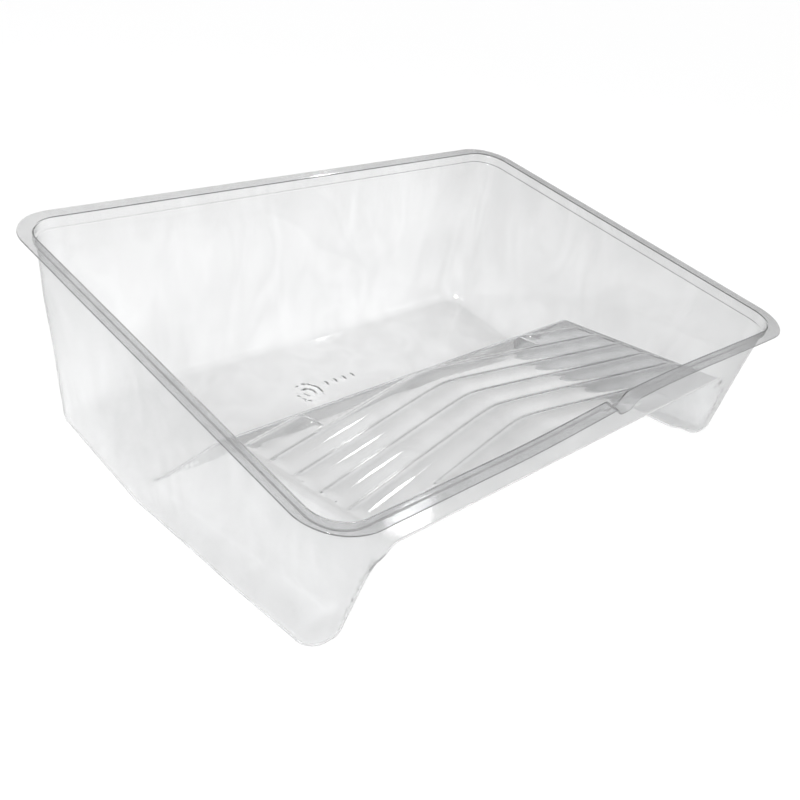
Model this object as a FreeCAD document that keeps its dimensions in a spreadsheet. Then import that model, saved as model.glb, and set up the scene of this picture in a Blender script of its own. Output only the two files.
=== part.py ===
import FreeCAD, Part
import os
import re

import Sketcher

# A clear deep-well paint roller tray, formed from one sheet of plastic.
#
# Everything is drawn in the rim's own frame: X across the tray, Y from the middle of the rim
# towards the back, Z up from the top of the rim, in millimetres. Two closed forms are built
# there. "Outside" is the tray with its inside filled in, "Inside" is the space it holds, and
# the sheet is one less the other. Cells then cut the sheet where it turns, so that each region
# is a sub-part of its own, and each sub-part's Placement stands it on the keels of the legs.

SIZES = {
    "rim_width": 406.0,  # outside, across
    "rim_length": 290.0,  # outside, front to back
    "rim_radius": 28.0,  # outside corners
    "flange_width": 8.0,
    "sheet_thickness": 0.8,
    "collar_height": 6.0,  # straight collar under the flange
    "step_width": 1.5,  # stacking step below the collar
    "side_draft": 5.5,  # degrees from the rim's normal, for every draft
    "back_draft": 7.5,
    "front_draft": 2.5,
    "well_depth": 124.0,  # top of the rim to the underside of the floor
    "heel_place": 168.0,  # from the rim's front edge to the keels' rear end
    "keel_slope": 12.3,  # the keels' climb towards the front, against the rim
    "leg_width": 53.0,  # rim edge to the leg's inner wall, at the ramp
    "leg_draft": 9.5,
    "ramp_front": 12.0,  # from the rim's front edge
    "ramp_depth": 32.5,  # rim to the ramp's surface, at its front
    "ramp_slope": 14.2,
    "ramp_rear": 138.0,  # from the rim's front edge
    "drop_slope": 35.0,  # the well's front wall, against the rim's normal
    "floor_fillet": 5.8,  # under the floor and the keels, outside
    "ramp_fillet": 4.0,  # round the ramp, under the sheet
    "rib_pitch": 20.0,
    "rib_angle": 12.5,  # each half of a rib, against X
    "rib_base": 17.0,
    "rib_crown": 11.0,
    "rib_height": 3.5,
    "rib_first": 47.0,  # middle of the first rib at mid-width, from the rim's front edge
    "rib_reach": 146.0,  # mid-width to a long rib's end
    "rib_short": 96.0,  # mid-width to where the front rib ends and the rear rib begins
    "rib_root": 1.0,  # how far a rib reaches into what it stands on
    "notch_width": 22.0,
    "notch_floor": 12.0,
    "notch_shift": 10.0,  # right of mid-width
    "cell_margin": 10.0,  # how far a cell reaches past the sheet
    "notch_edge": 2.0,  # strip of flange that stays with the notch, each side
    "front_edge": 19.0,  # rim's front edge to where the front regions end
    "leg_edge": 34.0,  # rim's front edge to where the legs' corners end
    "well_edge": 186.0,  # rim's front edge to where the floor begins
    "floor_edge": 257.5,  # rim's front edge to where the floor ends
    "corner_edge": 243.0,  # rim's front edge to where the well's corners begin
    "corner_side": 42.0,  # rim's side edge to where the well's corners begin
    "keel_side": 27.5,  # rim's side edge to the flat strip of the keel
    "keel_inner": 34.0,  # rim's side edge to that strip's other edge
    "ramp_side": 58.0,  # rim's side edge to the ramp's own region
    "drop_edge": 136.0,  # rim's front edge to where the ramp's own region ends
}
LONG_RIBS = 4

doc = FreeCAD.newDocument("PaintTray")


def add_sizes():
    """The driving dimensions, one named cell each."""
    sheet = doc.addObject("Spreadsheet::Sheet", "Sizes")
    for row, (name, value) in enumerate(SIZES.items(), start=1):
        sheet.set(f"A{row}", name)
        sheet.set(f"B{row}", str(value))
        sheet.setAlias(f"B{row}", name)
    doc.recompute()
    return sheet


sizes = add_sizes()


def sized(expression):
    """The expression with each size named in full."""
    return re.sub("[a-z_]+", lambda w: f"Sizes.{w[0]}" if w[0] in SIZES else w[0], expression)


def number(expression):
    """What an expression comes to now."""
    return float(sizes.evalExpression(sized(expression)))


def bind(thing, path, expression):
    thing.setExpression(path, sized(expression))


# Distances that several features share, in the rim's frame.
HALF_WIDTH = "rim_width / 2"
HALF_LENGTH = "rim_length / 2"
STEP_UNDER = "(collar_height + sheet_thickness)"
WALL_TOP = "flange_width + step_width"
HEEL = "(heel_place - rim_length / 2)"
RIM_FRONT = "- rim_length / 2"
PAST_FRONT = "(- rim_length / 2 - cell_margin)"
PAST_FLOOR = "(- well_depth - cell_margin)"
DECK = "(ramp_front - rim_length / 2)"
RAMP_CLIMB = "tan(ramp_slope * 1deg)"


def plane_of(body, role):
    """One of a body's own origin planes."""
    return next(f for f in body.Origin.OriginFeatures if f.Role == role)


def new_sketch(body, name, role, across="0", up="0", along="0", turn=None):
    """A sketch on one of the body's planes, moved in the plane and along its normal."""
    sketch = body.newObject("Sketcher::SketchObject", name)
    sketch.AttachmentSupport = (plane_of(body, role), [""])
    sketch.MapMode = "FlatFace"
    if turn is not None:
        turned = FreeCAD.Rotation(FreeCAD.Vector(0, 0, 1), number(turn))
        sketch.AttachmentOffset = FreeCAD.Placement(FreeCAD.Vector(), turned)
        bind(sketch, "AttachmentOffset.Rotation.Angle", turn)
    bind(sketch, "AttachmentOffset.Base.x", across)
    bind(sketch, "AttachmentOffset.Base.y", up)
    bind(sketch, "AttachmentOffset.Base.z", along)
    return sketch


def constrain(sketch, kind, ends, expression):
    """One dimension of a sketch, from an expression."""
    row = sketch.addConstraint(Sketcher.Constraint(kind, *ends, number(expression)))
    bind(sketch, f"Constraints[{row}]", expression)


def polygon(sketch, corners):
    """A closed outline of straight lines, each corner a pair of expressions."""
    first = sketch.GeometryCount
    points = [FreeCAD.Vector(number(a), number(b), 0) for a, b in corners]
    for start, stop in zip(points, points[1:] + points[:1]):
        sketch.addGeometry(Part.LineSegment(start, stop), False)
    count = len(points)
    for i in range(count):
        following = first + (i + 1) % count
        sketch.addConstraint(Sketcher.Constraint("Coincident", first + i, 2, following, 1))
    for i, (across, up) in enumerate(corners):
        constrain(sketch, "DistanceX", (-1, 1, first + i, 1), across)
        constrain(sketch, "DistanceY", (-1, 1, first + i, 1), up)


def rim_outline(sketch, side, back, front, radius):
    """A rounded rectangle set in from the rim's edge by three distances."""
    x = number(f"{HALF_WIDTH} - ({side})")
    y_back = number(f"{HALF_LENGTH} - ({back})")
    y_front = -number(f"{HALF_LENGTH} - ({front})")
    r = number(radius)
    quarter = FreeCAD.Units.Quantity("90 deg").getValueAs("rad").Value
    centres = [(x - r, y_front + r), (x - r, y_back - r), (r - x, y_back - r), (r - x, y_front + r)]
    for i, centre in enumerate(centres):
        circle = Part.Circle(FreeCAD.Vector(*centre, 0), FreeCAD.Vector(0, 0, 1), r)
        sketch.addGeometry(Part.ArcOfCircle(circle, (i - 1) * quarter, i * quarter), False)
    lines = [
        ((x, y_front + r), (x, y_back - r)),
        ((x - r, y_back), (r - x, y_back)),
        ((-x, y_back - r), (-x, y_front + r)),
        ((r - x, y_front), (x - r, y_front)),
    ]
    for start, stop in lines:
        line = Part.LineSegment(FreeCAD.Vector(*start, 0), FreeCAD.Vector(*stop, 0))
        sketch.addGeometry(line, False)
    for i in range(4):
        sketch.addConstraint(Sketcher.Constraint("Tangent", i, 2, 4 + i, 1))
        sketch.addConstraint(Sketcher.Constraint("Tangent", 4 + i, 2, (i + 1) % 4, 1))
        sketch.addConstraint(Sketcher.Constraint("Vertical" if i % 2 == 0 else "Horizontal", 4 + i))
    for i in (1, 2, 3):
        sketch.addConstraint(Sketcher.Constraint("Equal", 0, i))
    constrain(sketch, "Radius", (0,), radius)
    constrain(sketch, "DistanceX", (-1, 1, 4, 1), f"{HALF_WIDTH} - ({side})")
    constrain(sketch, "DistanceX", (6, 1, -1, 1), f"{HALF_WIDTH} - ({side})")
    constrain(sketch, "DistanceY", (-1, 1, 5, 1), f"{HALF_LENGTH} - ({back})")
    constrain(sketch, "DistanceY", (7, 1, -1, 1), f"{HALF_LENGTH} - ({front})")


def pad(body, name, sketch, length, both_ways=False):
    feature = body.newObject("PartDesign::Pad", name)
    feature.Profile = sketch
    feature.Midplane = both_ways
    bind(feature, "Length", length)
    doc.recompute()
    return feature


def filled_tray(name, inset, top, collar_floor, floor):
    """A closed body that fills the collar and the well, inset from the sheet's outside."""
    body = doc.addObject("PartDesign::Body", name)
    edge = f"flange_width + {inset}"
    collar = new_sketch(body, f"{name}CollarOutline", "XY_Plane", along=f"- {collar_floor}")
    rim_outline(collar, edge, edge, edge, f"rim_radius - ({edge})")
    pad(body, f"{name}Collar", collar, f"{collar_floor} + {top}")

    wall = f"{WALL_TOP} + {inset}"
    corner = f"rim_radius - ({wall})"
    mouth = new_sketch(body, f"{name}WellMouth", "XY_Plane", along=f"- {collar_floor}")
    rim_outline(mouth, wall, wall, wall, corner)
    bottom = new_sketch(body, f"{name}WellBottom", "XY_Plane", along=f"- ({floor})")
    drafts = [
        f"{wall} + ({floor} - {collar_floor}) * tan({draft} * 1deg)"
        for draft in ("side_draft", "back_draft", "front_draft")
    ]
    rim_outline(bottom, *drafts, corner)
    well = body.newObject("PartDesign::AdditiveLoft", f"{name}Well")
    well.Profile = mouth
    well.Sections = [bottom]
    well.Ruled = True
    doc.recompute()
    return body


def flange_plate():
    body = doc.addObject("PartDesign::Body", "Flange")
    sketch = new_sketch(body, "FlangeOutline", "XY_Plane", along="- sheet_thickness")
    rim_outline(sketch, "0", "0", "0", "rim_radius")
    pad(body, "FlangePlate", sketch, "sheet_thickness")
    return body


def below_keels(name, lift):
    """Everything under the keels' plane, raised by lift."""
    body = doc.addObject("PartDesign::Body", name)
    sketch = new_sketch(body, f"{name}Side", "YZ_Plane")
    rear = f"({HEEL} + {lift} * tan(keel_slope * 1deg / 2))"
    floor = f"{lift} - well_depth"
    front_floor = f"{floor} + ({rear} - {PAST_FRONT}) * tan(keel_slope * 1deg)"
    corners = [(PAST_FRONT, PAST_FLOOR), (rear, PAST_FLOOR), (rear, floor)]
    polygon(sketch, corners + [(PAST_FRONT, front_floor)])
    pad(body, f"{name}Block", sketch, "rim_width", both_ways=True)
    return body


def under_ramp(name, inset, fillet):
    """The space under the ramp and between the legs, inset from the sheet's painted side."""
    body = doc.addObject("PartDesign::Body", name)
    side = new_sketch(body, f"{name}Side", "YZ_Plane")
    fall = "tan(drop_slope * 1deg)"
    shift = (
        f"{inset} * ({fall} / cos(ramp_slope * 1deg) - 1 / cos(drop_slope * 1deg))"
        f" / (1 - {RAMP_CLIMB} * {fall})"
    )
    rear = f"(ramp_rear - {HALF_LENGTH} + {shift})"
    deck = f"- ramp_depth - {inset} / cos(ramp_slope * 1deg)"
    crest = f"({deck} - ({rear} - {DECK}) * {RAMP_CLIMB})"
    foot = f"{rear} + ({crest} - {PAST_FLOOR}) * {fall}"
    front_top = f"{deck} + ({DECK} - {PAST_FRONT}) * {RAMP_CLIMB}"
    corners = [(PAST_FRONT, PAST_FLOOR), (foot, PAST_FLOOR), (rear, crest)]
    polygon(side, corners + [(PAST_FRONT, front_top)])
    block = pad(body, f"{name}Block", side, "rim_width", both_ways=True)
    block_volume = block.Shape.Volume

    ends = new_sketch(body, f"{name}Ends", "XZ_Plane")
    half = f"({HALF_WIDTH} - leg_width - {inset} / cos(leg_draft * 1deg))"
    top = f"{half} - ramp_depth * tan(leg_draft * 1deg)"
    bottom = f"{half} + (- {PAST_FLOOR} - ramp_depth) * tan(leg_draft * 1deg)"
    outside = f"{HALF_WIDTH} + cell_margin"
    for sign in ("", "-"):
        uppers = [(f"{sign} ({top})", "0"), (f"{sign} ({outside})", "0")]
        lowers = [(f"{sign} ({outside})", PAST_FLOOR), (f"{sign} ({bottom})", PAST_FLOOR)]
        polygon(ends, uppers + lowers)
    sides = body.newObject("PartDesign::Pocket", f"{name}Sides")
    sides.Profile = ends
    sides.Type = "ThroughAll"
    sides.Midplane = True
    doc.recompute()
    if not sides.Shape.Volume < block_volume:
        raise SystemExit(f"{name}: the sides cut nothing")

    rounds = body.newObject("PartDesign::Fillet", f"{name}Rounds")
    rounds.Base = (sides, ramp_edges(sides.Shape))
    bind(rounds, "Radius", fillet)
    doc.recompute()
    return body


def ramp_edges(shape):
    """Names of the edges round the ramp's top, sides and rear."""
    margin = number("cell_margin") / 2
    names = []
    for i, edge in enumerate(shape.Edges, start=1):
        box = edge.BoundBox
        clear_of_floor = box.ZMax > -number("well_depth") - margin
        clear_of_front = box.YMax > -number(HALF_LENGTH) - margin
        if clear_of_floor and clear_of_front:
            names.append(f"Edge{i}")
    return names


def rib_bars(name, lower, side_inset, end_inset):
    """The ramp's ribs: bars across each half that meet in a chevron at mid-width."""
    body = doc.addObject("PartDesign::Body", name)
    lean = "tan(rib_angle * 1deg)"
    root = f"- rib_root - {lower}"
    crown = f"rib_height - {lower}"
    flare = "rib_root * (rib_base - rib_crown) / rib_height / 2"
    half_crown = f"(rib_crown / 2 - {side_inset})"
    half_root = f"(rib_base / 2 - {side_inset} + {flare})"

    def bars(label, first, count, begin, end):
        """Some neighbouring bars, from one distance off mid-width to another."""
        sketch = new_sketch(
            body, f"{name}{label}Outline", "YZ_Plane", DECK, "- ramp_depth", begin, "- ramp_slope"
        )
        for i in range(first, first + count):
            middle = f"((rib_first + {i} * rib_pitch - ramp_front - {begin} * {lean})"
            middle += " / cos(ramp_slope * 1deg))"
            lowers = [(f"{middle} - {half_root}", root), (f"{middle} + {half_root}", root)]
            uppers = [(f"{middle} + {half_crown}", crown), (f"{middle} - {half_crown}", crown)]
            polygon(sketch, lowers + uppers)
        feature = body.newObject("PartDesign::Pad", f"{name}{label}")
        feature.Profile = sketch
        feature.UseCustomVector = True
        feature.AlongSketchNormal = True
        feature.Direction = FreeCAD.Vector(1, -number(lean), number(f"{lean} * {RAMP_CLIMB}"))
        bind(feature, "Direction.y", f"- {lean}")
        bind(feature, "Direction.z", f"{lean} * {RAMP_CLIMB}")
        bind(feature, "Length", f"{end} - ({begin})")
        doc.recompute()
        return feature

    halves = [
        bars("Front", 0, 1, "0", f"(rib_short - {end_inset})"),
        bars("Long", 1, LONG_RIBS, "0", f"(rib_reach - {end_inset})"),
        bars("Rear", LONG_RIBS + 1, 1, f"(rib_short + {end_inset})", f"(rib_reach - {end_inset})"),
    ]
    mirrored = body.newObject("PartDesign::Mirrored", f"{name}OtherHalf")
    mirrored.Originals = halves
    mirrored.MirrorPlane = (plane_of(body, "YZ_Plane"), [""])
    body.Tip = mirrored
    doc.recompute()
    return body


def notch_block(name, inset, top, front):
    """The notch through the front flange, as a block, inset from its outside."""
    body = doc.addObject("PartDesign::Body", name)
    sketch = new_sketch(body, f"{name}Outline", "XZ_Plane", along=f"- ({front})")
    upper = f"(notch_width / 2 + sheet_thickness - {inset})"
    lower = f"(notch_floor / 2 + sheet_thickness - {inset})"
    bottom = f"{inset} - {STEP_UNDER}"
    corners = [(f"notch_shift - {lower}", bottom), (f"notch_shift + {lower}", bottom)]
    corners += [(f"notch_shift + {upper}", "0"), (f"notch_shift + {upper}", top)]
    corners += [(f"notch_shift - {upper}", top), (f"notch_shift - {upper}", "0")]
    polygon(sketch, corners if top != "0" else corners[:3] + corners[5:])
    feature = pad(body, f"{name}Block", sketch, f"{RIM_FRONT} + {WALL_TOP} - ({front})")
    feature.Reversed = True
    doc.recompute()
    return body


def joined(name, shapes):
    thing = doc.addObject("Part::MultiFuse", name)
    thing.Shapes = shapes
    doc.recompute()
    return thing


def cut(name, base, tool):
    thing = doc.addObject("Part::Cut", name)
    thing.Base = base
    thing.Tool = tool
    doc.recompute()
    return thing


def turned_edges(shape):
    """Names of the edges along the foot of the walls, the legs and the drop."""
    highest = number("2 * sheet_thickness - ramp_depth")
    least_turn = FreeCAD.Units.Quantity("30 deg").getValueAs("rad").Value
    names = []
    for i, edge in enumerate(shape.Edges, start=1):
        middle = edge.valueAt((edge.FirstParameter + edge.LastParameter) / 2)
        faces = shape.ancestorsOfType(edge, Part.Face)
        if middle.z > highest or len(faces) < 2:
            continue
        normals = [face.normalAt(*face.Surface.parameter(middle)) for face in faces]
        if normals[0].getAngle(normals[1]) > least_turn:
            names.append(f"Edge{i}")
    return names


def rounded(name, base, radius):
    """The same form with its foot edges rounded."""
    body = doc.addObject("PartDesign::Body", name)
    body.BaseFeature = base
    doc.recompute()
    start = body.Group[0]
    rounds = body.newObject("PartDesign::Fillet", f"{name}Rounds")
    rounds.Base = (start, turned_edges(start.Shape))
    bind(rounds, "Radius", radius)
    body.Tip = rounds
    doc.recompute()
    return body


def outside_form():
    """The tray with its inside filled in, as seen from below."""
    tray = filled_tray("OutsideTray", "0", "0", STEP_UNDER, "well_depth")
    keels = below_keels("OutsideKeels", "0")
    ramp = under_ramp("OutsideRamp", "sheet_thickness", "ramp_fillet")
    form = cut("OutsideForm", tray, joined("OutsideBelow", [keels, ramp]))
    rounds = rounded("OutsideRounded", form, "floor_fillet")
    notch = notch_block("OutsideNotch", "0", "0", RIM_FRONT)
    whole = joined("OutsideWhole", [rounds, flange_plate(), notch])
    rib_side = "sheet_thickness * tan(atan(2 * rib_height / (rib_base - rib_crown)) / 2)"
    hollows = rib_bars("OutsideRibs", "sheet_thickness", rib_side, "sheet_thickness")
    return cut("Outside", whole, hollows)


def inside_form():
    """The space the tray holds, taken past the rim."""
    floor = "well_depth - sheet_thickness"
    tray = filled_tray("InsideTray", "sheet_thickness", "cell_margin", "collar_height", floor)
    keels = below_keels("InsideKeels", "sheet_thickness")
    ramp = under_ramp("InsideRamp", "0", "ramp_fillet + sheet_thickness")
    form = cut("InsideForm", tray, joined("InsideBelow", [keels, ramp]))
    rounds = rounded("InsideRounded", form, "floor_fillet - sheet_thickness")
    notch = notch_block("InsideNotch", "sheet_thickness", "cell_margin", PAST_FRONT)
    whole = joined("InsideWhole", [rounds, notch])
    return cut("Inside", whole, rib_bars("InsideRibs", "0", "0", "0"))


def box_cell(name, x_range, y_range, z_range):
    """A box between two expressions each way."""
    box = doc.addObject("Part::Box", name)
    for side, axis, (low, high) in zip(
        ("Length", "Width", "Height"), "xyz", (x_range, y_range, z_range)
    ):
        bind(box, f"Placement.Base.{axis}", low)
        bind(box, side, f"{high} - ({low})")
    return box


def stand(node):
    """Turn a node from the rim's frame to stand on the keels, over the middle of its box."""
    cos, sin = "cos(keel_slope * 1deg)", "sin(keel_slope * 1deg)"
    back_run = f"(well_depth - {STEP_UNDER}) * tan(back_draft * 1deg)"
    back_foot = f"({HALF_LENGTH} - {WALL_TOP} - {back_run}) * {cos} + well_depth * {sin}"
    node.Placement = FreeCAD.Placement(
        FreeCAD.Vector(), FreeCAD.Rotation(FreeCAD.Vector(1, 0, 0), number("keel_slope"))
    )
    bind(node, "Placement.Rotation.Angle", "keel_slope")
    bind(node, "Placement.Base.y", f"({HALF_LENGTH} * {cos} - ({back_foot})) / 2")
    bind(node, "Placement.Base.z", f"well_depth * {cos} - {HEEL} * {sin}")


def from_middle(side):
    return f"({HALF_WIDTH} - {side})"


def from_front(edge):
    return f"({edge} - {HALF_LENGTH})"


def both_sides(name, near, far, y_range, z_range):
    """The same cell on the left and on the right."""
    return {
        f"{name}_left": ((f"- {far}", f"- {near}"), y_range, z_range),
        f"{name}_right": ((near, far), y_range, z_range),
    }


def all_cells():
    """Each region's box: its three pairs of limits."""
    rim = (f"- {STEP_UNDER}", "cell_margin")
    body = (PAST_FLOOR, f"- {STEP_UNDER}")
    out = f"({HALF_WIDTH} + cell_margin)"
    past_back = f"({HALF_LENGTH} + cell_margin)"
    rim_side = from_middle("rim_radius")
    rim_back = (f"({HALF_LENGTH} - rim_radius)", past_back)
    rim_middle = (f"(rim_radius - {HALF_LENGTH})", f"({HALF_LENGTH} - rim_radius)")
    rim_front = (PAST_FRONT, f"(rim_radius - {HALF_LENGTH})")
    notch_left = "(notch_shift - notch_width / 2 - notch_edge)"
    notch_right = "(notch_shift + notch_width / 2 + notch_edge)"
    keel_out, keel_in = from_middle("keel_side"), from_middle("keel_inner")
    ramp_side, corner_side = from_middle("ramp_side"), from_middle("corner_side")
    front, leg = from_front("front_edge"), from_front("leg_edge")
    drop, well = from_front("drop_edge"), from_front("well_edge")
    corner, floor = from_front("corner_edge"), from_front("floor_edge")
    across_ramp = (f"- {ramp_side}", ramp_side)
    return {
        "rim_back": ((f"- {rim_side}", rim_side), rim_back, rim),
        **both_sides("rim", rim_side, out, rim_middle, rim),
        **both_sides("rim_corner_back", rim_side, out, rim_back, rim),
        **both_sides("rim_corner_front", rim_side, out, rim_front, rim),
        "rim_front_left": ((f"- {rim_side}", notch_left), rim_front, rim),
        "rim_notch": ((notch_left, notch_right), rim_front, rim),
        "rim_front_right": ((notch_right, rim_side), rim_front, rim),
        "wall_back": ((f"- {corner_side}", corner_side), (floor, past_back), body),
        **both_sides("wall", keel_out, out, (leg, corner), body),
        **both_sides("wall_corner", corner_side, out, (corner, past_back), body),
        **both_sides("leg_corner", keel_in, out, (PAST_FRONT, leg), body),
        **both_sides("leg_front", ramp_side, keel_in, (PAST_FRONT, front), body),
        **both_sides("leg_inner", ramp_side, keel_in, (front, well), body),
        **both_sides("leg_keel", keel_in, keel_out, (leg, well), body),
        "apron": (across_ramp, (PAST_FRONT, front), body),
        "ramp_left": ((f"- {ramp_side}", "0"), (front, drop), body),
        "ramp_right": (("0", ramp_side), (front, drop), body),
        "ramp_drop": (across_ramp, (drop, well), body),
        "well_floor": ((f"- {keel_out}", keel_out), (well, floor), body),
    }


def cut_regions(sheet):
    """One sub-part for each region of the sheet, standing as the tray stands."""
    cells = {name: box_cell(f"Cell_{name}", *limits) for name, limits in all_cells().items()}
    doc.recompute()
    nodes = []
    for name, cell in cells.items():
        if name.startswith("wall_corner"):
            cell = cut(f"Bent_{name}", cell, cells["well_floor"])
        node = doc.addObject("Part::Common", name)
        node.Label = name
        node.Base = sheet
        node.Tool = cell
        stand(node)
        nodes.append(node)
    doc.recompute()
    return nodes


def check(nodes, sheet):
    """Stop on anything that did not build, and on regions that are not exactly the sheet."""
    for thing in doc.Objects:
        if "Invalid" in thing.State or "Error" in thing.State:
            raise SystemExit(f"{thing.Name}: {thing.State}")
    for node in nodes:
        shape = node.Shape
        if shape.isNull() or not shape.isValid() or len(shape.Solids) != 1:
            raise SystemExit(f"{node.Label}: not one valid solid")
    total = sum(node.Shape.Volume for node in nodes)
    whole = sheet.Shape.Volume
    if abs(total - whole) > whole / 2000:
        raise SystemExit(f"the regions come to {total:.1f}, the sheet to {whole:.1f}")


tray_sheet = cut("Sheet", outside_form(), inside_form())
regions = cut_regions(tray_sheet)
check(regions, tray_sheet)

os.makedirs("parts", exist_ok=True)
for region in regions:
    region.Shape.exportStep(f"parts/{region.Label}.step")
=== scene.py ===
import math

import bpy
import numpy as np
from mathutils import Matrix, Vector


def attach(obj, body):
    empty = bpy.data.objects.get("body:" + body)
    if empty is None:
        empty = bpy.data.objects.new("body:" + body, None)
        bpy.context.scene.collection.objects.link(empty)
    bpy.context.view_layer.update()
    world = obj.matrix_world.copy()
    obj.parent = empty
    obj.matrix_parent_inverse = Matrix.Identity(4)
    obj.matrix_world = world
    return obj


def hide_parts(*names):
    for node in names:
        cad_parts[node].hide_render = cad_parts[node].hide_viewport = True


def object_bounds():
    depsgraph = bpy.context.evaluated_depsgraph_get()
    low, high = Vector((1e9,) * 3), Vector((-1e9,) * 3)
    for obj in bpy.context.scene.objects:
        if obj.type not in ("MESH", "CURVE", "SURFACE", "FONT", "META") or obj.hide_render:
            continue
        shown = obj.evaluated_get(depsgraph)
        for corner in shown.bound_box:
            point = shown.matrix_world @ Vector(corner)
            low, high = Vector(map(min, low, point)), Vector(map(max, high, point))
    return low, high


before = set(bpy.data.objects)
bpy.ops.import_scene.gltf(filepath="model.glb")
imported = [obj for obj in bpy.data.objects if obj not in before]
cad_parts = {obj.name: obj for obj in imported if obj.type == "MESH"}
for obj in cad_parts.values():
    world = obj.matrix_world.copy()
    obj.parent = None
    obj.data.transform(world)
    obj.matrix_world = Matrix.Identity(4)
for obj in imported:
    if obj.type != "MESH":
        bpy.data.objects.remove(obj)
cad_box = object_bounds()

# The tray is one formed sheet, drawn in the rim's own frame: X across, Y from the middle of the
# rim to the back, Z up from the top of the rim, in millimetres. It is turned into the row's frame
# at the end.
HALF_WIDTH, HALF_LENGTH = 203.0, 145.0
RIM_RADIUS = 28.0
SHEET = 0.8
KEEL_SLOPE = math.radians(12.3)

COLLAR_INSET, COLLAR_DEPTH = 8.8, 6.0
WALL_INSET = 10.3
WALL_RADIUS = RIM_RADIUS - WALL_INSET
SIDE_DRAFT, BACK_DRAFT, FRONT_DRAFT = (math.radians(a) for a in (5.5, 7.5, 2.5))
FLOOR = -123.2
HEEL, HEEL_UNDER = 23.1, 23.0
FLOOR_FILLET = 5.0
HEEL_FILLET = 1.5

RAMP_FRONT, RAMP_REAR, RAMP_TOP = -133.0, -7.0, -32.5
RAMP_SLOPE, DROP_SLOPE, LEG_DRAFT = (math.radians(a) for a in (14.2, 35.0, 9.5))
RAMP_HALF = 150.0
RAMP_FILLET, CREST_FILLET = 3.2, 2.2
RAMP_FALL = math.tan(RAMP_SLOPE)
CREST = RAMP_TOP - (RAMP_REAR - RAMP_FRONT) * RAMP_FALL

RIB_PITCH, RIB_HEIGHT, RIB_REACH, RIB_SHORT = 20.0, 2.3, 146.0, 96.0
RIB_LEAN = math.tan(math.radians(12.5))
RIB_FIRST = -108.0  # the first valley, at mid-width
LAST_RIB = 5
VALLEY_WIDTH, APEX_WIDTH, RIB_END = 1.1, 9.0, 5.0
RIB_RISE = 3.2  # how sharply a bar rises from its valley

NOTCH_PLACE, NOTCH_DEPTH = 10.0, 5.6
NOTCH_FLOOR, NOTCH_TOP = 3.0, 11.5  # half widths
NOTCH_BELOW = 16.0  # how far down the wall the notch still presses it

TARGET_PLACE, TARGET_RINGS, RING_HALF = (-24.0, 62.0), (9.5, 4.0), 0.9
PIP_PLACES, PIP_ROW, PIP_RADIUS = (-6, 2, 10, 18), 66.0, 1.9
MARK_HEIGHT, MARK_FLANK = 0.6, 0.9

FRONT_BOW, BOW_START, BOW_LENGTH = 3.4, -93.0, 286.0  # the front rim's bend inwards
FOOT_TIGHTENING = 7.5  # how much smaller the walls' corners are at the front feet
BLOCK_WIDER, BLOCK_TIGHTER = 6.5, 3.2  # the ramp's block's fillet, at the feet and at the apron
NOSE_HEIGHT = -92.0  # a height at the front feet


# ---- The form of the sheet's upper side ----------------------------------------------------


def smooth(t):
    """0 below 0, 1 above 1, and an even turn between."""
    t = np.clip(t, 0, 1)
    return t * t * (3 - 2 * t)


def inner_round(a, b, radius):
    """Distance inside two walls whose meeting corner is filled with a fillet."""
    u, v = np.maximum(radius - a, 0), np.maximum(radius - b, 0)
    return np.where(u + v > 0, radius - np.hypot(u, v), np.minimum(a, b))


def outer_round(a, b, radius):
    """Distance outside a block whose edge between two faces is rounded."""
    return -inner_round(-a, -b, radius)


def rib_height(x, y):
    """Convex bars that meet in a chevron, parted by narrow valleys."""
    off = np.sqrt(x * x + APEX_WIDTH**2) - APEX_WIDTH
    along = (y - RIB_FIRST + off * RIB_LEAN) / RIB_PITCH
    bar = np.clip(np.floor(along), 0, LAST_RIB)
    from_valley = np.abs(along - np.round(along)) * RIB_PITCH
    from_valley = np.sqrt(from_valley**2 + VALLEY_WIDTH**2) - VALLEY_WIDTH
    rise = 1 - (1 - np.clip(from_valley / (RIB_PITCH / 2), 0, 1)) ** RIB_RISE
    near = np.where(bar == LAST_RIB, np.abs(x) - RIB_SHORT - 2, RIB_REACH)
    far = np.where(bar == 0, RIB_SHORT, RIB_REACH) - np.abs(x)
    end = np.clip(np.minimum(near, far) / RIB_END, 0, 1)
    inside = (along > 0) & (along < LAST_RIB + 1)
    return RIB_HEIGHT * rise * np.sqrt(1 - (1 - end) ** 2) * inside


def floor_mark(x, y):
    """A plain target of two rings and a row of four round pips, raised from the floor."""
    from_centre = np.hypot(x - TARGET_PLACE[0], y - TARGET_PLACE[1])
    large, small = TARGET_RINGS
    outside = np.minimum(np.abs(from_centre - large), np.abs(from_centre - small)) - RING_HALF
    for place in PIP_PLACES:
        outside = np.minimum(outside, np.hypot(x - place, y - PIP_ROW) - PIP_RADIUS)
    return MARK_HEIGHT * (1 - smooth(outside / MARK_FLANK))


def wall_x(z):
    return HALF_WIDTH - WALL_INSET + (z + COLLAR_DEPTH) * math.tan(SIDE_DRAFT)


def wall_back(z):
    return HALF_LENGTH - WALL_INSET + (z + COLLAR_DEPTH) * math.tan(BACK_DRAFT)


def wall_front(z):
    return WALL_INSET - HALF_LENGTH - (z + COLLAR_DEPTH) * math.tan(FRONT_DRAFT)


def block_side(z):
    """Where the leg's inner wall stands at a height."""
    return RAMP_HALF + (RAMP_TOP - z) * math.tan(LEG_DRAFT)


def ramp_plane(y):
    return RAMP_TOP - (y - RAMP_FRONT) * RAMP_FALL


def keel_plane(y):
    return FLOOR + np.maximum(HEEL - y, 0) * math.tan(KEEL_SLOPE)


def corner_radius(y, z):
    """The walls' corners tighten towards the front feet."""
    return WALL_RADIUS - FOOT_TIGHTENING * smooth((-60 - y) / 40) * smooth((-10 - z) / 80)


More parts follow.
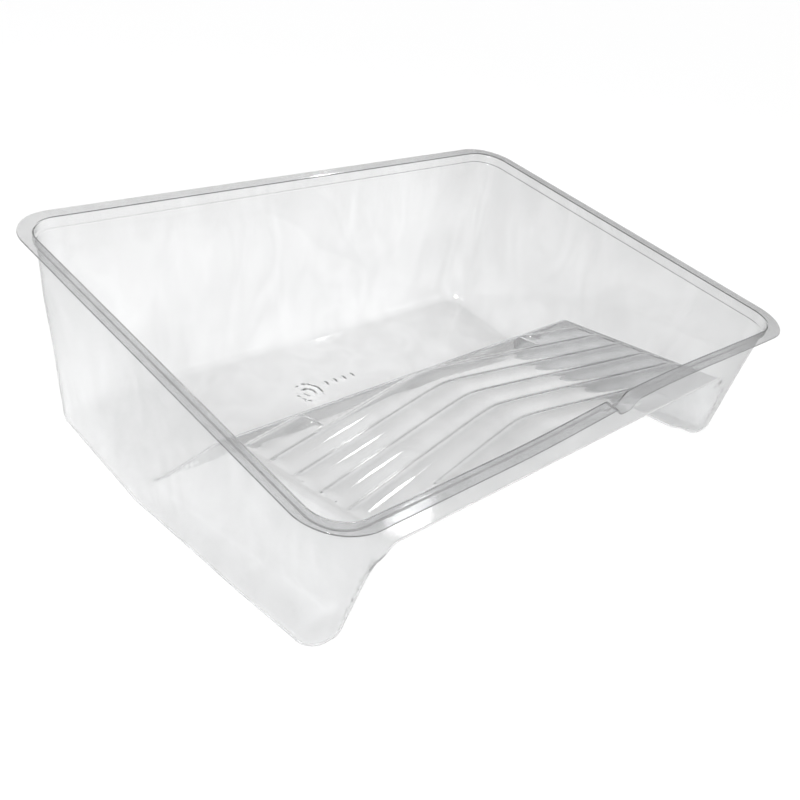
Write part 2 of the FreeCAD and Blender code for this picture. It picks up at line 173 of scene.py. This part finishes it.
def block_fillet(y, z):
    """The fillet where the ramp's block meets the walls: tight at the apron, wide at the feet."""
    near = smooth((-112 - y) / 10)
    foot = smooth((-35 - z) / 10)
    return FLOOR_FILLET + near * (BLOCK_WIDER * foot - BLOCK_TIGHTER * (1 - foot))


def sharp_floor(x, y):
    """Height of the floor, keels, ramp and drop, with every edge left sharp."""
    side = RAMP_TOP - (np.abs(x) - RAMP_HALF) / math.tan(LEG_DRAFT)
    drop = CREST - (y - RAMP_REAR) / math.tan(DROP_SLOPE)
    block = np.minimum(np.minimum(ramp_plane(y), side), drop)
    return np.maximum(keel_plane(y), block)


def sag(p):
    """How the thin sheet strays from its mould: a front rim bent inwards and slack walls."""
    x, y, z = p[..., 0], p[..., 1], p[..., 2]
    bow = np.sin(math.pi * np.clip((x - BOW_START) / BOW_LENGTH, 0, 1)) ** 2
    high = smooth((z - RAMP_TOP + 4) / -RAMP_TOP)
    moved = np.zeros_like(p)
    moved[..., 1] = FRONT_BOW * bow * high * smooth((-100 - y) / 30)
    depth = smooth((-z - 10) / 25) * smooth((z - FLOOR - 5) / 20)
    at_side = smooth((np.abs(x) - 165) / 12)
    at_back = smooth((y - 100) / 12)
    wave = 0.30 * np.sin(y / 17 + z / 29 + np.sign(x)) + 0.16 * np.sin(z / 9.5 - y / 31)
    moved[..., 0] = wave * depth * at_side
    moved[..., 1] += (0.28 * np.sin(x / 23 + z / 21) + 0.14 * np.sin(z / 8.0)) * depth * at_back
    return moved


def form(p):
    """Distance into the open space above the sheet, negative below it."""
    p = p - sag(p)
    x, y, z = p[..., 0], p[..., 1], p[..., 2]
    across = (wall_x(z) - np.abs(x)) * math.cos(SIDE_DRAFT)
    back = (wall_back(z) - y) * math.cos(BACK_DRAFT)
    front = (y - wall_front(z)) * math.cos(FRONT_DRAFT)
    walls = inner_round(across, np.minimum(back, front), corner_radius(y, z))
    floor = z - FLOOR - floor_mark(x, y)
    keels = (z - FLOOR - (HEEL - y) * math.tan(KEEL_SLOPE)) * math.cos(KEEL_SLOPE)
    tray = inner_round(walls, inner_round(floor, keels, HEEL_FILLET), FLOOR_FILLET)
    deck = (z - ramp_plane(y) - rib_height(x, y)) * math.cos(RAMP_SLOPE)
    side = (np.abs(x) - block_side(z)) * math.cos(LEG_DRAFT)
    drop = (y - RAMP_REAR) * math.cos(DROP_SLOPE) + (z - CREST) * math.sin(DROP_SLOPE)
    block = outer_round(outer_round(deck, drop, CREST_FILLET), side, RAMP_FILLET)
    return inner_round(tray, block, block_fillet(y, z))


def slope_of(p, step=0.05):
    """The form's gradient, by central differences."""
    grad = np.empty_like(p)
    for axis in range(3):
        shift = np.zeros(3)
        shift[axis] = step
        grad[..., axis] = (form(p + shift) - form(p - shift)) / (2 * step)
    return grad


def settle(p, rounds=10):
    """Points moved on to the form along its gradient, and the sheet's normals there."""
    for _ in range(rounds):
        grad = slope_of(p)
        size = np.maximum((grad**2).sum(-1), 0.05)
        move = grad * (form(p) / size)[..., None]
        length = np.linalg.norm(move, axis=-1, keepdims=True)
        p = p - move * np.minimum(1, 4 / np.maximum(length, 1e-9))
    grad = slope_of(p)
    return p, grad / np.linalg.norm(grad, axis=-1, keepdims=True)


# ---- The mesh: a grid for the floor and ramp, and rings for the walls and the rim -----------

ARC = 10  # lines of the grid that turn each half of a corner
ARC_SIZE = WALL_RADIUS - 7
DECK_STEP = 1.35
FOOT = 7.0  # from the foot of a wall to the grid's edge


def stretch(start, stop, count, ends=False):
    """Even steps between two numbers, or closer ones towards both."""
    t = np.linspace(0, 1, count + 1)[1:]
    if ends:
        t = (1 - np.cos(math.pi * t)) / 2
    return start + (stop - start) * t


def grid_rows():
    """Each row's place in the tray, as far as the rows are straight."""
    arc_front = np.linspace(0, 1, ARC + 1)
    deck_end = RAMP_REAR + 4
    deck = stretch(0, 1, int((deck_end - RAMP_FRONT - 18) / DECK_STEP))
    drop = stretch(deck_end, 27, 9)
    foot = stretch(27, 43, 12)
    floor = stretch(43, wall_back(FLOOR) - WALL_RADIUS, 34)
    return arc_front, deck, deck_end, np.concatenate([drop, foot, floor]), arc_front[1:]


def grid_places():
    """X and Y of the grid, with its lines along the ramp's and the legs' edges."""
    arc_front, deck, deck_end, straight, arc_back = grid_rows()
    far = wall_back(FLOOR) - WALL_RADIUS
    leg_front = wall_front(NOSE_HEIGHT) + FOOT
    start = leg_front + ARC_SIZE
    y = np.concatenate([
        leg_front + ARC_SIZE * arc_front,
        start + (deck_end - start) * deck,
        straight,
        far + ARC_SIZE * arc_back,
    ])
    low = keel_plane(y)
    edge = wall_x(low) - FOOT
    top = np.maximum(np.minimum(ramp_plane(y), CREST - (y - RAMP_REAR) / math.tan(DROP_SLOPE)), low)
    corner = edge - ARC_SIZE
    leg_foot = np.minimum(block_side(low), corner - 0.8)
    leg_top = np.minimum(block_side(top), leg_foot - 6)
    deck_columns = np.linspace(0, 142, int(142 / DECK_STEP) + 1)
    columns = [np.repeat(deck_columns[:, None], len(y), 1)]
    for left, right, count, ends in (
        (np.full_like(y, 142), leg_top, 8, False),
        (leg_top, leg_foot, 14, True),
        (leg_foot, corner, 3, False),
        (corner, edge, ARC, False),
    ):
        t = stretch(0, 1, count, ends)[:, None]
        columns.append(left + (right - left) * t)
    half = np.concatenate(columns)
    x = np.concatenate([-half[:0:-1], half])
    y = np.repeat(y[None, :], x.shape[0], 0)
    return x, y


def lean_front(x, y):
    """The front rows follow the foot of the front wall, which is nearer on the ramp."""
    front = np.full_like(x[:, :1], wall_front(NOSE_HEIGHT))
    foot = wall_front(sharp_floor(x[:, :1], front)) + FOOT
    shift = foot - y[:, :1]
    fade = 1 - smooth((y - y[:, :1]) / 22)
    return y + shift * fade


def round_corners(x, y):
    """Turn the grid's four square corners into quarter discs."""
    x, y = x.copy(), y.copy()
    ends = (slice(-ARC - 1, None), slice(ARC, None, -1))
    for i_side in ends:
        for j_side in ends:
            bx, by = x[i_side, j_side], y[i_side, j_side]
            centre_x, centre_y = bx[:1, :].copy(), by[:, :1].copy()
            across, along = bx - centre_x, by - centre_y
            p = np.abs(across) / ARC_SIZE
            q = np.abs(along) / ARC_SIZE
            x[i_side, j_side] = centre_x + across * np.sqrt(1 - q * q / 2)
            y[i_side, j_side] = centre_y + along * np.sqrt(1 - p * p / 2)
    return x, y


def border(array):
    """The grid's border, once round: front, right, back, left."""
    sides = [array[:-1, 0], array[-1, :-1], array[:0:-1, -1], array[0, :0:-1]]
    return np.concatenate(sides)


def spread(place, end, target, start):
    """A place on a wall's foot, moved out to where its line meets the rim."""
    far = smooth((np.abs(place) - start) / (end - start))
    return place + np.sign(place) * (target - end) * far


def stations(x, y):
    """For each border point: which way is out, and the centre its rim arc turns about."""
    nx, ny = x.shape
    straight_x, straight_y = HALF_WIDTH - RIM_RADIUS, HALF_LENGTH - RIM_RADIUS
    out = np.zeros((nx, ny, 2))
    centre = np.zeros((nx, ny, 2))
    end_x, back_y, front_y = x[-1 - ARC], y[0, -1 - ARC], -y[0, ARC]
    centre[..., 0] = spread(x, end_x, straight_x, 90)
    ahead = spread(y, front_y, straight_y, 30)
    centre[..., 1] = np.where(y > 0, spread(y, back_y, straight_y, 30), ahead)
    centre[:, 0, 1], centre[:, -1, 1] = -straight_y, straight_y
    centre[0, :, 0], centre[-1, :, 0] = -straight_x, straight_x
    out[:, 0], out[:, -1] = (0, -1), (0, 1)
    out[0, :], out[-1, :] = (-1, 0), (1, 0)
    for i_side, i_sign in ((slice(nx - 1 - ARC, nx), 1), (slice(0, ARC + 1), -1)):
        for j_side, j_sign in ((slice(ny - 1 - ARC, ny), 1), (slice(0, ARC + 1), -1)):
            i_mid = nx - 1 - ARC if i_sign > 0 else ARC
            j_mid = ny - 1 - ARC if j_sign > 0 else ARC
            bx = x[i_side, j_side] - x[i_mid, j_side][None, :]
            by = y[i_side, j_side] - y[i_side, j_mid][:, None]
            turn = np.stack([bx, by], -1)
            turn /= np.maximum(np.linalg.norm(turn, axis=-1, keepdims=True), 1e-9)
            out[i_side, j_side] = turn
            centre[i_side, j_side] = (i_sign * straight_x, j_sign * straight_y)
    return border(out), border(centre)


def arc_points(inset, z, radius, start, stop, count):
    """Points of a turn in the rim's section, from one angle to another, in degrees."""
    angles = np.radians(np.linspace(start, stop, count))
    return [(inset + radius * math.sin(a), z + radius * math.cos(a)) for a in angles]


def notched(p, out):
    """Points of the front wall and rim, pressed down at the notch."""
    off = np.abs(p[..., 0] - NOTCH_PLACE)
    depth = NOTCH_DEPTH * smooth((NOTCH_TOP - off) / (NOTCH_TOP - NOTCH_FLOOR))
    share = np.clip((p[..., 2] + NOTCH_BELOW) / (NOTCH_BELOW - 1), 0, 1)
    p = p.copy()
    p[..., 2] -= depth * share * (out[..., 1] < -0.99)
    return p


def rim_rows(out, centre):
    """Rings of the rim's upper side, from the step to the flange's edge."""
    section = arc_points(9.3, -7.0, 1.0, 90, 0, 5)
    section += arc_points(9.3, -5.5, 0.5, 180, 270, 4)[1:]
    section += [(COLLAR_INSET, -3.2)]
    section += arc_points(7.8, -1.0, 1.0, 90, 0, 6)
    section += [(inset, 0.0) for inset in (5.4, 3.0, 1.2, 0.4)]
    rows = []
    for inset, z in section:
        place = centre + out * (RIM_RADIUS - inset)
        p = np.concatenate([place, np.full((len(place), 1), z)], 1)
        rows.append(notched(p + sag(p), out))
    return np.array(rows)


def ring_normals(rows):
    """Normals of rings by the turn between their neighbours, up from the sheet."""
    along = np.roll(rows, -1, 1) - np.roll(rows, 1, 1)
    across = np.gradient(rows, axis=0)
    normals = np.cross(along, -across)
    return normals / np.linalg.norm(normals, axis=-1, keepdims=True)


def wall_rows(x, y, out, centre):
    """Rings from the grid's border out to the foot of the walls and up to the step."""
    edge = np.stack([border(x), border(y)], 1)
    foot_centre = edge - out * ARC_SIZE
    low = sharp_floor(*(edge + out * FOOT).T)
    rows = []
    for reach in stretch(0, FOOT, 6):
        place = edge + out * reach
        rows.append(np.concatenate([place, sharp_floor(*place.T)[:, None]], 1))
    turn = np.minimum(8, 0.3 * (-8 - low))
    high = [low + turn * t for t in stretch(0, 1, 5)]
    high += [high[4] + (-7.5 - high[4]) * t for t in stretch(0, 1, 12)]
    for z in high:
        t = ((z - low) / (-COLLAR_DEPTH - low))[:, None]
        place = foot_centre + (centre - foot_centre) * t + out * WALL_RADIUS
        rows.append(np.concatenate([place, z[:, None]], 1))
    return np.array(rows)


def to_row_frame():
    """The matrix that stands the rim's frame, in millimetres, as the CAD model stands."""
    cos, sin = math.cos(KEEL_SLOPE), math.sin(KEEL_SLOPE)
    shift = cad_box[0][1] * 1000 + HALF_LENGTH * cos
    lift = (SHEET - FLOOR) * cos - HEEL_UNDER * sin
    turn = Matrix.Rotation(KEEL_SLOPE, 4, "X")
    return Matrix.Scale(0.001, 4) @ Matrix.Translation((0, shift, lift)) @ turn


def build_sheet():
    """The whole tray as one closed skin: upper side, lower side and the flange's cut edge."""
    x, y = grid_places()
    y = lean_front(x, y)
    x, y = round_corners(x, y)
    nx, ny = x.shape
    out, centre = stations(x, y)
    grid, grid_normals = settle(np.stack([x, y, sharp_floor(x, y)], -1))
    walls, wall_normals = settle(wall_rows(x, y, out, centre))
    walls = notched(walls, out)
    rim = rim_rows(out, centre)
    rings = np.concatenate([walls, rim])
    normals = ring_normals(rings)
    normals[: len(walls)] = wall_normals

    upper = np.concatenate([grid.reshape(-1, 3), rings.reshape(-1, 3)])
    upper_normals = np.concatenate([grid_normals.reshape(-1, 3), normals.reshape(-1, 3)])
    lower = upper - upper_normals * SHEET
    count = len(upper)
    first, last = rings[-1], rings[-1] - normals[-1] * SHEET
    middle = (first + last) / 2
    edge_rows, edge_normals = [], []
    flat_out = np.concatenate([out, 0 * out[:, :1]], 1)
    for angle in (45, 90, 135):
        a = math.radians(angle)
        ray = (first - middle) * math.cos(a) + flat_out * (SHEET / 2 * math.sin(a))
        edge_rows.append(middle + ray)
        edge_normals.append(ray / np.linalg.norm(ray, axis=-1, keepdims=True))

    ids = np.arange(nx * ny).reshape(nx, ny)
    ring_ids = np.arange(rings.shape[0] * rings.shape[1]).reshape(rings.shape[:2]) + nx * ny
    ring_ids = np.concatenate([border(ids)[None], ring_ids])
    grid_quads = np.stack([ids[:-1, :-1], ids[1:, :-1], ids[1:, 1:], ids[:-1, 1:]], -1)
    upper_quads = np.concatenate([grid_quads.reshape(-1, 4), ring_quads(ring_ids)])
    stations_count = len(out)
    edge_ids = np.arange(3 * stations_count).reshape(3, -1) + 2 * count
    edge_ids = np.concatenate([ring_ids[-1:], edge_ids, ring_ids[-1:] + count])
    quads = [upper_quads, upper_quads[:, ::-1] + count, ring_quads(edge_ids)]
    points = np.concatenate([upper, lower] + edge_rows)
    facing = np.concatenate([upper_normals, -upper_normals] + edge_normals)
    return points, facing, np.concatenate(quads)


def ring_quads(ids):
    inner, outer = ids[:-1], ids[1:]
    corners = [outer, np.roll(outer, -1, 1), np.roll(inner, -1, 1), inner]
    return np.stack(corners, -1).reshape(-1, 4)


def make_tray(material):
    points, facing, quads = build_sheet()
    stand = np.array(to_row_frame())
    points = points @ stand[:3, :3].T + stand[:3, 3]
    facing = facing @ (stand[:3, :3].T * 1000)
    # Rounding leaves the flange's two side edges a hair outside the CAD model's box.
    low, high = np.array(cad_box[0]), np.array(cad_box[1])
    points = np.clip(points, low, high)
    mesh = bpy.data.meshes.new("tray_sheet")
    mesh.from_pydata(points.tolist(), [], quads.tolist())
    mesh.polygons.foreach_set("use_smooth", np.ones(len(quads), bool))
    mesh.validate()
    mesh.normals_split_custom_set_from_vertices(facing.tolist())
    mesh.materials.append(material)
    tray = bpy.data.objects.new("tray_sheet", mesh)
    bpy.context.scene.collection.objects.link(tray)
    return tray


# ---- Materials ------------------------------------------------------------------------------

# How light the sheet is, from straight on (0) to edge on (1).
SHEET_TINT = ((0.0, 0.98), (0.30, 0.975), (0.42, 0.965), (0.55, 0.94), (0.72, 0.76), (1.0, 0.14))
# Each shade is a range of its source and the range of tint or roughness that it turns into.
DEPTH_SHADE = (0.010, 0.115), (1.0, 0.85)
# Painted shade: the tint darkens towards the sheet's right end.
RIGHT_END_PAINTED_SHADE = (0.11, 0.2), (1.0, 0.82)
# Painted reflection: a faint mottling of the tint stands in for the wavy reflections of the slack
# walls.
REFLECTION_MOTTLE = (0.35, 0.65), (0.94, 1.0)
ROUGH_PATCHES = (0.3, 0.75), (0.02, 0.07)


def node_material(name):
    material = bpy.data.materials.new(name)
    material.use_nodes = True
    tree = material.node_tree
    tree.nodes.clear()
    return material, tree.nodes, tree.links


def ranged(nodes, links, source, start, stop):
    """A source's values, turned from one range into another."""
    node = nodes.new("ShaderNodeMapRange")
    node.inputs["From Min"].default_value, node.inputs["From Max"].default_value = start
    node.inputs["To Min"].default_value, node.inputs["To Max"].default_value = stop
    links.new(source, node.inputs["Value"])
    return node.outputs["Result"]


def noise(nodes, links, place, scale, detail, distortion=0.0):
    node = nodes.new("ShaderNodeTexNoise")
    node.inputs["Scale"].default_value = scale
    node.inputs["Detail"].default_value = detail
    node.inputs["Distortion"].default_value = distortion
    links.new(place, node.inputs["Vector"])
    return node.outputs["Fac"]


def combined(nodes, links, operation, first, second):
    node = nodes.new("ShaderNodeMath")
    node.operation = operation
    links.new(first, node.inputs[0])
    links.new(second, node.inputs[1])
    return node.outputs["Value"]


def edge_tint(nodes, links):
    """Grey that deepens as the sheet is seen more edge on."""
    facing = nodes.new("ShaderNodeLayerWeight")
    facing.inputs["Blend"].default_value = 0.5
    tint = nodes.new("ShaderNodeValToRGB")
    elements = tint.color_ramp.elements
    while len(elements) > 1:
        elements.remove(elements[-1])
    for k, (spot, grey) in enumerate(SHEET_TINT):
        element = elements[0] if k == 0 else elements.new(spot)
        element.position = spot
        element.color = (grey, grey * 1.004, grey * 1.008, 1)
    links.new(facing.outputs["Facing"], tint.inputs["Fac"])
    return tint.outputs["Color"]


def sheet_colour(nodes, links, place):
    """The sheet's tint: darker towards the rim, with painted shade darker to the right and a faint
    painted reflection as streaked mottling.
    """
    depth = nodes.new("ShaderNodeVectorMath")
    depth.operation = "DOT_PRODUCT"
    depth.inputs[1].default_value = (0, -math.sin(KEEL_SLOPE), math.cos(KEEL_SLOPE))
    links.new(place, depth.inputs[0])
    apart = nodes.new("ShaderNodeSeparateXYZ")
    links.new(place, apart.inputs["Vector"])
    streak = nodes.new("ShaderNodeMapping")
    streak.inputs["Scale"].default_value = (1.0, 1.0, 0.45)
    links.new(place, streak.inputs["Vector"])
    # Darker towards the rim.
    rim_darkening = ranged(nodes, links, depth.outputs["Value"], *DEPTH_SHADE)
    # Painted shade: darker towards the right end, along X.
    across = ranged(nodes, links, apart.outputs["X"], *RIGHT_END_PAINTED_SHADE)
    # Painted reflection: streaked noise mottles the tint.
    reflection_noise = noise(nodes, links, streak.outputs["Vector"], 34.0, 4.0, 1.4)
    painted_reflection_mottle = ranged(nodes, links, reflection_noise, *REFLECTION_MOTTLE)
    # The darkening towards the rim, times the painted shade towards the right end.
    rim_and_painted_right_shade = combined(nodes, links, "MULTIPLY", rim_darkening, across)
    # Times the painted reflection mottling.
    rim_shade_and_painted_light = combined(nodes, links, "MULTIPLY", rim_and_painted_right_shade, painted_reflection_mottle)
    shade = nodes.new("ShaderNodeVectorMath")
    shade.operation = "SCALE"
    links.new(edge_tint(nodes, links), shade.inputs[0])
    links.new(rim_shade_and_painted_light, shade.inputs["Scale"])
    return shade.outputs["Vector"]


def clear_plastic():
    """Clear formed sheet: glossy, greyer along its edges, with slow ripples from the forming."""
    material, nodes, links = node_material("clear_sheet")
    output = nodes.new("ShaderNodeOutputMaterial")
    shader = nodes.new("ShaderNodeBsdfPrincipled")
    shader.inputs["IOR"].default_value = 1.55
    shader.inputs["Transmission Weight"].default_value = 0.96
    place = nodes.new("ShaderNodeTexCoord").outputs["Object"]
    links.new(sheet_colour(nodes, links, place), shader.inputs["Base Color"])

    bump = nodes.new("ShaderNodeBump")
    bump.inputs["Strength"].default_value = 0.3
    bump.inputs["Distance"].default_value = 0.0015
    links.new(noise(nodes, links, place, 20.0, 0.5), bump.inputs["Height"])
    links.new(bump.outputs["Normal"], shader.inputs["Normal"])
    haze = noise(nodes, links, place, 90.0, 3.0)
    links.new(ranged(nodes, links, haze, *ROUGH_PATCHES), shader.inputs["Roughness"])

    # Shadow and diffuse rays pass straight through, so no focused patterns fall on the floor.
    passing = nodes.new("ShaderNodeBsdfTransparent")
    passing.inputs["Color"].default_value = (0.95, 0.95, 0.95, 1)
    path = nodes.new("ShaderNodeLightPath").outputs
    either = combined(nodes, links, "MAXIMUM", path["Is Shadow Ray"], path["Is Diffuse Ray"])
    mix = nodes.new("ShaderNodeMixShader")
    links.new(either, mix.inputs["Fac"])
    links.new(shader.outputs["BSDF"], mix.inputs[1])
    links.new(passing.outputs["BSDF"], mix.inputs[2])
    links.new(mix.outputs["Shader"], output.inputs["Surface"])
    return material


def floor_paint():
    material, nodes, links = node_material("studio_floor")
    output = nodes.new("ShaderNodeOutputMaterial")
    shader = nodes.new("ShaderNodeBsdfDiffuse")
    shader.inputs["Color"].default_value = (0.92, 0.92, 0.92, 1)
    links.new(shader.outputs["BSDF"], output.inputs["Surface"])
    return material


# ---- Studio ---------------------------------------------------------------------------------

SUN_STRENGTH, SUN_HEADING, SUN_HEIGHT, SUN_SPREAD = 6.3, -46, 27, 12
OVERHEAD, HORIZON = 0.12, 1.0
LENS, SENSOR, SHIFT_UP = 42.75, 36.0, 0.001
CAMERA_PLACE = (-0.40731, -0.36876, 0.30977)
CAMERA_FORWARD, CAMERA_UP = (0.64528, 0.61457, -0.45377), (0.26861, 0.37353, 0.88788)


def add_floor():
    """A wide pale floor that the tray stands on, a hair below its keels."""
    half, drop = 30.0, -0.0002
    mesh = bpy.data.meshes.new("studio_floor")
    corners = [(-half, -half, drop), (half, -half, drop), (half, half, drop), (-half, half, drop)]
    mesh.from_pydata(corners, [], [(0, 1, 2, 3)])
    mesh.materials.append(floor_paint())
    floor = bpy.data.objects.new("studio_floor", mesh)
    bpy.context.scene.collection.objects.link(floor)


def add_sun(strength, heading, height, spread_angle):
    """An even light over the whole floor, from a compass heading and a height in degrees."""
    data = bpy.data.lights.new("fill", "SUN")
    data.energy = strength
    data.angle = math.radians(spread_angle)
    lamp = bpy.data.objects.new("fill", data)
    lamp.rotation_euler = (math.radians(90 - height), 0, math.radians(heading))
    bpy.context.scene.collection.objects.link(lamp)


def add_lamp(name, place, aim, size, power):
    data = bpy.data.lights.new(name, "AREA")
    data.shape = "RECTANGLE"
    data.size, data.size_y = size
    data.energy = power
    lamp = bpy.data.objects.new(name, data)
    lamp.location = place
    lamp.rotation_euler = (Vector(aim) - Vector(place)).to_track_quat("-Z", "Y").to_euler()
    bpy.context.scene.collection.objects.link(lamp)


def add_world(overhead, horizon):
    """A dim room overhead that brightens to white towards the horizon, like a studio cove."""
    world = bpy.data.worlds.new("studio")
    world.use_nodes = True
    nodes, links = world.node_tree.nodes, world.node_tree.links
    background = nodes["Background"]
    background.inputs["Color"].default_value = (1, 1, 1, 1)
    place = nodes.new("ShaderNodeTexCoord")
    apart = nodes.new("ShaderNodeSeparateXYZ")
    links.new(place.outputs["Generated"], apart.inputs["Vector"])
    fade = nodes.new("ShaderNodeMapRange")
    fade.interpolation_type = "SMOOTHSTEP"
    fade.inputs["From Min"].default_value = 0.05
    fade.inputs["From Max"].default_value = 0.38
    fade.inputs["To Min"].default_value = horizon
    fade.inputs["To Max"].default_value = overhead
    links.new(apart.outputs["Z"], fade.inputs["Value"])
    links.new(fade.outputs["Result"], background.inputs["Strength"])
    bpy.context.scene.world = world


def add_camera():
    """The photograph's view: from the front left, a little above, and slightly rolled."""
    data = bpy.data.cameras.new("view")
    data.lens = LENS
    data.sensor_width = SENSOR
    data.shift_y = SHIFT_UP
    data.clip_start = 0.01
    camera = bpy.data.objects.new("view", data)
    forward = Vector(CAMERA_FORWARD)
    up = Vector(CAMERA_UP)
    right = forward.cross(up)
    turn = Matrix((right, up, -forward)).transposed()
    camera.matrix_world = Matrix.Translation(CAMERA_PLACE) @ turn.to_4x4()
    bpy.context.scene.collection.objects.link(camera)
    bpy.context.scene.camera = camera


bpy.context.scene.view_settings.view_transform = "Standard"
tray = make_tray(clear_plastic())
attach(tray, "root")
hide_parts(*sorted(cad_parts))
add_floor()
add_world(OVERHEAD, HORIZON)
add_sun(SUN_STRENGTH, SUN_HEADING, SUN_HEIGHT, SUN_SPREAD)
add_lamp("window", (0.81, 0.79, 0.85), (-0.09, -0.12, 0.07), (0.09, 0.07), 0.25)
add_lamp("side", (-1.6, -0.2, 1.4), (-0.3, 0, 0), (0.8, 0.8), 4)
add_camera()
